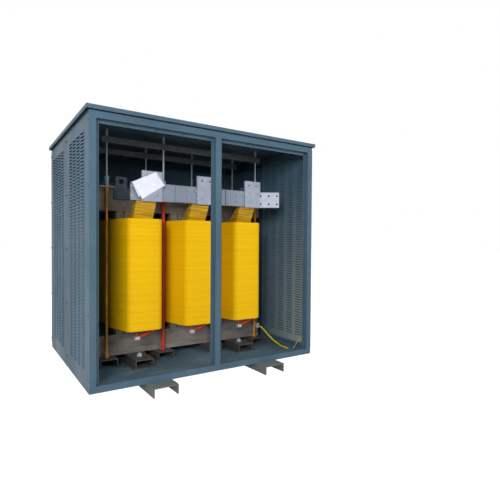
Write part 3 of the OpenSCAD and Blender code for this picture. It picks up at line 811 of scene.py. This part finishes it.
@dataclass
class Busbars:
    """Studs of the phase terminals, splice plates of the neutral bar and their bolted joints."""

    joint_across_mm: float = 65.0
    joint_up_mm: float = 72.0
    joint_gap_mm: float = 15.0
    splice_len_mm: float = 204.0
    splice_t_mm: float = 8.0
    splice_inset_mm: float = 3.0
    joint_clear_mm: float = 1.0
    hole_pitch_mm: float = 80.0
    hole_rise_mm: float = 51.0
    stud_mm: float = 16.0
    stud_sunk_mm: float = 3.0

    def studs(self) -> None:
        """Fill the two lower rows of holes of every terminal with the ends of its clamping studs."""
        pitch = self.hole_pitch_mm * MM
        points = []
        for terminal in TERMINALS:
            low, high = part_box(terminal)
            middle = (low.x + high.x) / 2
            points += [(middle + side * pitch / 2, high.y, low.z + self.hole_rise_mm * MM + row * pitch)
                       for side in (-1, 1) for row in (0, 1)]
        length = (high.y - low.y) / MM - self.stud_sunk_mm
        stud = Bolts(head_mm=9, head_h_mm=0.5, washer_mm=self.stud_mm, washer_h_mm=length,
                     stud_mm=5, stud_h_mm=0.3)
        stud.build("terminal_studs", points, Facing.FRONT, MILLED_ALUMINIUM)

    def build(self) -> None:
        """Fill the terminals' lower holes, lay two splice plates and set four bolts beside each terminal."""
        self.studs()
        bar_low, bar_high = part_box("neutral_bar")
        bar_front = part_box("terminal_a")[1].y
        inset = self.splice_inset_mm * MM
        middle_z = (bar_low.z + bar_high.z) / 2
        spans = []
        points = []
        for terminal in TERMINALS:
            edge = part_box(terminal)[0].x
            face = bar_front
            if terminal != "terminal_a":
                face = bar_front - self.splice_t_mm * MM
                end = edge - self.joint_clear_mm * MM
                spans.append(((end - self.splice_len_mm * MM, face, bar_low.z + inset),
                              (end, bar_front, bar_high.z - inset)))
            for column in (0, 1):
                x = edge - (self.joint_gap_mm + column * self.joint_across_mm) * MM
                points += [(x, face, middle_z + row * self.joint_up_mm * MM) for row in (-0.5, 0.5)]
        slabs("bar_splices", spans, DRAWN_ALUMINIUM)
        joint = Bolts(head_mm=24, head_h_mm=8, washer_mm=30, washer_h_mm=2, stud_mm=12, stud_h_mm=5)
        joint.build("busbar_joint_bolts", points, Facing.FRONT, MILLED_ALUMINIUM)


@dataclass
class Feet:
    """Zinc-plated heads on the fixing bolts of the four feet."""

    channel_in_mm: float = 25.0
    nut_h_mm: float = 18.0

    def build(self) -> None:
        """Cap the bolt of every foot."""
        front_low, front_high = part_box("front_feet")
        y = (front_low.y + self.channel_in_mm * MM + front_high.y) / 2
        seat = front_high.z - self.nut_h_mm * MM
        pitch = LEG_PITCH_MM * MM
        points = [(x, side * y, seat) for x in (-pitch, pitch) for side in (-1, 1)]
        cap = Bolts(head_mm=42, head_h_mm=16, washer_mm=52, washer_h_mm=4, stud_mm=20, stud_h_mm=8)
        cap.build("foot_bolts", points, Facing.UP, BRIGHT_ZINC)


@dataclass
class TapLugs:
    """Zinc-plated lugs with their bolts on the low ends of the red tap links."""

    link_dia_mm: float = 24.0
    lug_mm: float = 38.4
    skin_mm: float = 1.5
    edge_mm: float = 3.0

    def build(self) -> None:
        """Cap the lug of every tap link."""
        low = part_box("tap_links")[0]
        half = Vector((self.lug_mm, self.lug_mm, self.link_dia_mm)) * MM / 2
        reach = half + Vector((1, 1, 1)) * self.skin_mm * MM
        middles = [low + half + Vector((k * LEG_PITCH_MM * MM, 0, 0)) for k in range(len(COILS))]
        spans = [(m - reach, m + reach) for m in middles]
        slabs("tap_link_lugs", spans, BRIGHT_ZINC, self.edge_mm)
        seats = [m - Vector((0, reach.y, 0)) for m in middles]
        bolt = Bolts(head_mm=19, head_h_mm=7, washer_mm=24, washer_h_mm=2, stud_mm=10, stud_h_mm=4)
        bolt.build("tap_link_bolts", seats, Facing.FRONT, BRIGHT_ZINC)


@dataclass
class HungSheets:
    """Two plain sheets that hang over the first terminal from one corner, curled away from it."""

    width_mm: float = 232.0
    height_mm: float = 133.0
    front_tilt_deg: float = 33.0
    back_tilt_deg: float = 26.0
    curl_mm: float = 26.0
    back_curl: float = 0.4
    # Where the loose corners start to lift, as shares of the sheet, and how fast they rise
    right_from: float = 0.1
    right_slant: float = 0.6
    right_lift: float = 1.6
    left_from: float = 0.22
    left_lift: float = 2.0
    back_gap_mm: float = 0.6
    thickness_mm: float = 0.8
    steps: int = 16

    def turned(self, tilt: float, u: float, v: float) -> Vector:
        """Give the place of one point of a tilted sheet from its middle.

        Args:
            tilt: Turn about the sheet's normal, in radians.
            u: Share of the width, from -0.5 to 0.5.
            v: Share of the height, from -0.5 to 0.5.

        Returns:
            Offset in the plane of the front.
        """
        x, z = u * self.width_mm * MM, v * self.height_mm * MM
        return Vector((x * math.cos(tilt) - z * math.sin(tilt), 0, x * math.sin(tilt) + z * math.cos(tilt)))

    def sheet(self, name: str, middle: Vector, tilt: float, curl: float) -> Piece:
        """Make one curled sheet.

        Args:
            name: Name of the mesh.
            middle: Middle of the sheet.
            tilt: Turn about the sheet's normal, in radians.
            curl: How far the loose corners stand out.

        Returns:
            An object with a thin closed mesh.
        """
        n = self.steps
        verts = []
        for j in range(n + 1):
            for i in range(n + 1):
                u, v = i / n - 0.5, j / n - 0.5
                right = max(0.0, u - v * self.right_slant - self.right_from)
                left = max(0.0, -u - self.left_from)
                away = curl * (right ** 2 * self.right_lift + left ** 2 * self.left_lift)
                verts.append(middle + self.turned(tilt, u, v) - Vector((0, away, 0)))
        row = n + 1
        faces = [(j * row + i, j * row + i + 1, (j + 1) * row + i + 1, (j + 1) * row + i)
                 for j in range(n) for i in range(n)]
        mesh = bpy.data.meshes.new(name)
        mesh.from_pydata(verts, [], faces)
        mesh.materials.append(PAPER.material())
        mesh.shade_smooth()
        piece = link(name, mesh)
        solid = piece.modifiers.new("Thickness", "SOLIDIFY")
        solid.thickness = self.thickness_mm * MM
        solid.offset = 0.0
        return piece

    def build(self) -> None:
        """Hang the sheets in place of the plain solid."""
        low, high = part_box("hanging_sheets")
        front_tilt, back_tilt = math.radians(self.front_tilt_deg), math.radians(self.back_tilt_deg)
        middle = (low + high) / 2
        middle.y = low.y
        front = self.sheet("hung_sheet_front", middle, front_tilt, self.curl_mm * MM)
        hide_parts("hanging_sheets")
        keep(front)
        shared = middle + self.turned(front_tilt, 0.5, 0.5)
        behind = shared - self.turned(back_tilt, 0.5, 0.5)
        behind.y = high.y - self.back_gap_mm * MM
        keep(self.sheet("hung_sheet_back", behind, back_tilt, self.curl_mm * self.back_curl * MM))


@dataclass
class Earthing:
    """Earth cable and bonding wire, each one smooth run between two fixed ends."""

    cable_dia_mm: float = 16.0
    wire_dia_mm: float = 6.0
    smooth_steps: int = 6
    round_steps: int = 4

    CABLE = ((0.816, -0.232, 0.264), (0.830, -0.232, 0.264), (0.846, -0.237, 0.256), (0.861, -0.247, 0.242),
             (0.874, -0.262, 0.223), (0.885, -0.281, 0.202), (0.894, -0.305, 0.180), (0.901, -0.335, 0.159),
             (0.906, -0.372, 0.140), (0.909, -0.415, 0.124), (0.910, -0.460, 0.1125), (0.909, -0.505, 0.106),
             (0.907, -0.550, 0.1035), (0.905, -0.595, 0.1032), (0.905, -0.640, 0.1032))
    WIRE = ((0.917, -0.662, 0.104), (0.930, -0.662, 0.104), (0.943, -0.664, 0.109), (0.952, -0.669, 0.121),
            (0.957, -0.676, 0.138), (0.960, -0.685, 0.157), (0.963, -0.697, 0.176), (0.967, -0.713, 0.193),
            (0.970, -0.730, 0.205), (0.9715, -0.748, 0.211), (0.9715, -0.768, 0.212))

    def smooth(self, route: Sequence[Triple]) -> list[Vector]:
        """Round a route with a curve through all its points.

        Args:
            route: Points from end to end.

        Returns:
            Closer points on the curve.
        """
        points = [Vector(p) for p in route]
        padded = [points[0] * 2 - points[1], *points, points[-1] * 2 - points[-2]]
        run = []
        for a, b, c, d in zip(padded, padded[1:], padded[2:], padded[3:]):
            for k in range(self.smooth_steps):
                t = k / self.smooth_steps
                run.append(0.5 * (2 * b + (c - a) * t + (2 * a - 5 * b + 4 * c - d) * t * t
                                  + (3 * b - a - 3 * c + d) * t ** 3))
        run.append(points[-1])
        return run

    def cord(self, name: str, route: Sequence[Triple], dia_mm: float, node: str) -> None:
        """Lay one stiff cord along its route.

        Args:
            name: Name of the piece.
            route: Points from end to end.
            dia_mm: Diameter.
            node: Solid that the cord stands for.
        """
        run = self.smooth(route)
        data = bpy.data.curves.new(name, "CURVE")
        data.dimensions = "3D"
        data.bevel_depth = dia_mm * MM / 2
        data.bevel_resolution = self.round_steps
        data.use_fill_caps = True
        spline = data.splines.new("POLY")
        spline.points.add(len(run) - 1)
        for point, place in zip(spline.points, run):
            point.co = (*place, 1.0)
        data.materials.append(PVC_SHEATH.material())
        piece = link(name, data)
        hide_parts(node)
        keep(piece)

    def build(self) -> None:
        """Lay the cable and the wire."""
        self.cord("earth_cable_run", self.CABLE, self.cable_dia_mm, "earth_cable")
        self.cord("bonding_wire_run", self.WIRE, self.wire_dia_mm, "earth_wire")


@dataclass(frozen=True)
class Lamp:
    """One soft square lamp, which reflections don't show, so that no panel glares."""

    name: str
    place: Triple
    target: Triple
    size: float
    watts: float
    colour: str = "#ffffff"

    def hang(self) -> None:
        """Put the lamp into the scene."""
        data = bpy.data.lights.new(self.name, "AREA")
        data.color = linear(self.colour)[:3]
        data.size = self.size
        data.energy = self.watts
        lamp = link(self.name, data)
        lamp.location = self.place
        lamp.visible_glossy = False
        lamp.rotation_mode = "QUATERNION"
        lamp.rotation_quaternion = (Vector(self.target) - Vector(self.place)).to_track_quat("-Z", "Y")


@dataclass
class Studio:
    """Camera at the photo's angle, pale floor and soft light."""

    LAMPS = (Lamp("key_lamp", (4.4, -5.4, 3.2), (0.1, -0.4, 1.0), size=3.0, watts=220),
             Lamp("front_fill_lamp", (-4.2, -5.8, 2.8), (0.5, -0.3, 1.0), size=2.4, watts=380),
             Lamp("left_fill_lamp", (-4.8, -1.0, 6.4), (-1.0, 0.0, 1.0), size=3.0, watts=160,
                  colour="#e6f2ff"),
             Lamp("back_fill_lamp", (2.0, 7.0, 4.2), (0.0, 0.8, 1.0), size=3.0, watts=320))

    eye_mm: Triple = (-1716.7, -3857.5, 1155.5)
    yaw_deg: float = 33.729
    pitch_deg: float = -1.034
    roll_deg: float = 0.383
    focal_px: float = 416.99
    clip_end: float = 500.0
    sky: float = 0.32
    mirrored: float = 0.5
    floor_half: float = 60.0
    floor_grey: float = 0.42
    floor_glow: float = 1.5
    floor_share: float = 0.72

    def camera(self) -> None:
        """Set the camera where the photo was taken from."""
        yaw, pitch, roll = (math.radians(a) for a in (self.yaw_deg, self.pitch_deg, self.roll_deg))
        ahead = Vector((math.sin(yaw) * math.cos(pitch), math.cos(yaw) * math.cos(pitch), math.sin(pitch)))
        level = Vector((math.cos(yaw), -math.sin(yaw), 0))
        upright = level.cross(ahead)
        right = level * math.cos(roll) + upright * math.sin(roll)
        up = upright * math.cos(roll) - level * math.sin(roll)
        data = bpy.data.cameras.new("photo_camera")
        data.lens = self.focal_px / PHOTO_PX * SENSOR_MM
        data.sensor_width = SENSOR_MM
        data.clip_end = self.clip_end
        camera = link("photo_camera", data)
        turn = Matrix((right, up, -ahead)).transposed()
        camera.matrix_world = Matrix.Translation(Vector(self.eye_mm) * MM) @ turn.to_4x4()
        bpy.context.scene.camera = camera

    def seen(self, tree: Tree) -> Socket:
        """Tell the rays that see the backdrop from those that only carry light.

        Args:
            tree: Tree of the world or of the floor.

        Returns:
            1 for the camera's own rays, less for reflections and rays through glass, and 0 for the rest.
        """
        rays = add_node(tree, "ShaderNodeLightPath").outputs
        bent = reckon(tree, "MAXIMUM", rays["Is Glossy Ray"], rays["Is Transmission Ray"])
        return reckon(tree, "MAXIMUM", rays["Is Camera Ray"], reckon(tree, "MULTIPLY", bent, self.mirrored))

    def backdrop(self) -> None:
        """Make the world white to the eye, and the floor pale with the part's shadow on it."""
        world = bpy.data.worlds.new("studio_white")
        bpy.context.scene.world = world
        world.use_nodes = True
        tree = world.node_tree
        tree.nodes.clear()
        level = add_node(tree, "ShaderNodeMapRange",
                         {"Value": self.seen(tree), "To Min": self.sky, "To Max": 1.0})
        light = add_node(tree, "ShaderNodeBackground", {"Color": (1, 1, 1, 1), "Strength": level.outputs[0]})
        add_node(tree, "ShaderNodeOutputWorld", {"Surface": light.outputs[0]})
        mesh = bpy.data.meshes.new("studio_floor")
        half = self.floor_half
        corners = [(-half, -half, 0), (half, -half, 0), (half, half, 0), (-half, half, 0)]
        mesh.from_pydata(corners, [], [(0, 1, 2, 3)])
        mesh.materials.append(self.floor_paint())
        link("studio_floor", mesh)

    def floor_paint(self) -> bpy.types.Material:
        """Make the pale floor, lifted towards white for the camera.

        Returns:
            The material.
        """
        made = bpy.data.materials.new("pale_studio_floor")
        made.use_nodes = True
        tree = made.node_tree
        tree.nodes.clear()
        grey = self.floor_grey
        matt = add_node(tree, "ShaderNodeBsdfDiffuse", {"Color": (grey, grey, grey, 1)})
        glow = add_node(tree, "ShaderNodeEmission", {"Color": (1, 1, 1, 1), "Strength": self.floor_glow})
        share = reckon(tree, "MULTIPLY", self.seen(tree), self.floor_share)
        mixed = add_node(tree, "ShaderNodeMixShader", {0: share, 1: matt.outputs[0], 2: glow.outputs[0]})
        add_node(tree, "ShaderNodeOutputMaterial", {"Surface": mixed.outputs[0]})
        return made

    def build(self) -> None:
        """Set up the camera, the lamps and the backdrop."""
        self.camera()
        self.backdrop()
        for lamp in self.LAMPS:
            lamp.hang()
        bpy.context.scene.view_settings.view_transform = "Standard"


def dress(frame: dict[str, Any]) -> None:
    """Give every solid the finish of its slot, and some solids a finish of their own.

    Args:
        frame: The loaded frame.
    """
    by_slot = {finish.slot: finish for finish in SLOT_FINISHES}
    for subpart in frame["record"]["subparts"]:
        node = subpart["node"]
        finish = OWN_FINISH.get(node, by_slot[subpart["material_slot"]])
        mesh = frame["nodes"][node].data
        mesh.materials.clear()
        mesh.materials.append(finish.material())


def main() -> None:
    """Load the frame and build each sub-assembly in order."""
    logging.basicConfig(level=logging.INFO, format="%(name)s: %(message)s")
    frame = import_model()
    Studio().build()
    Earthing().build()
    dress(frame)
    Enclosure().build()
    Windings().build()
    Busbars().build()
    Feet().build()
    TapLugs().build()
    HungSheets().build()


if __name__ == "__main__":
    main()
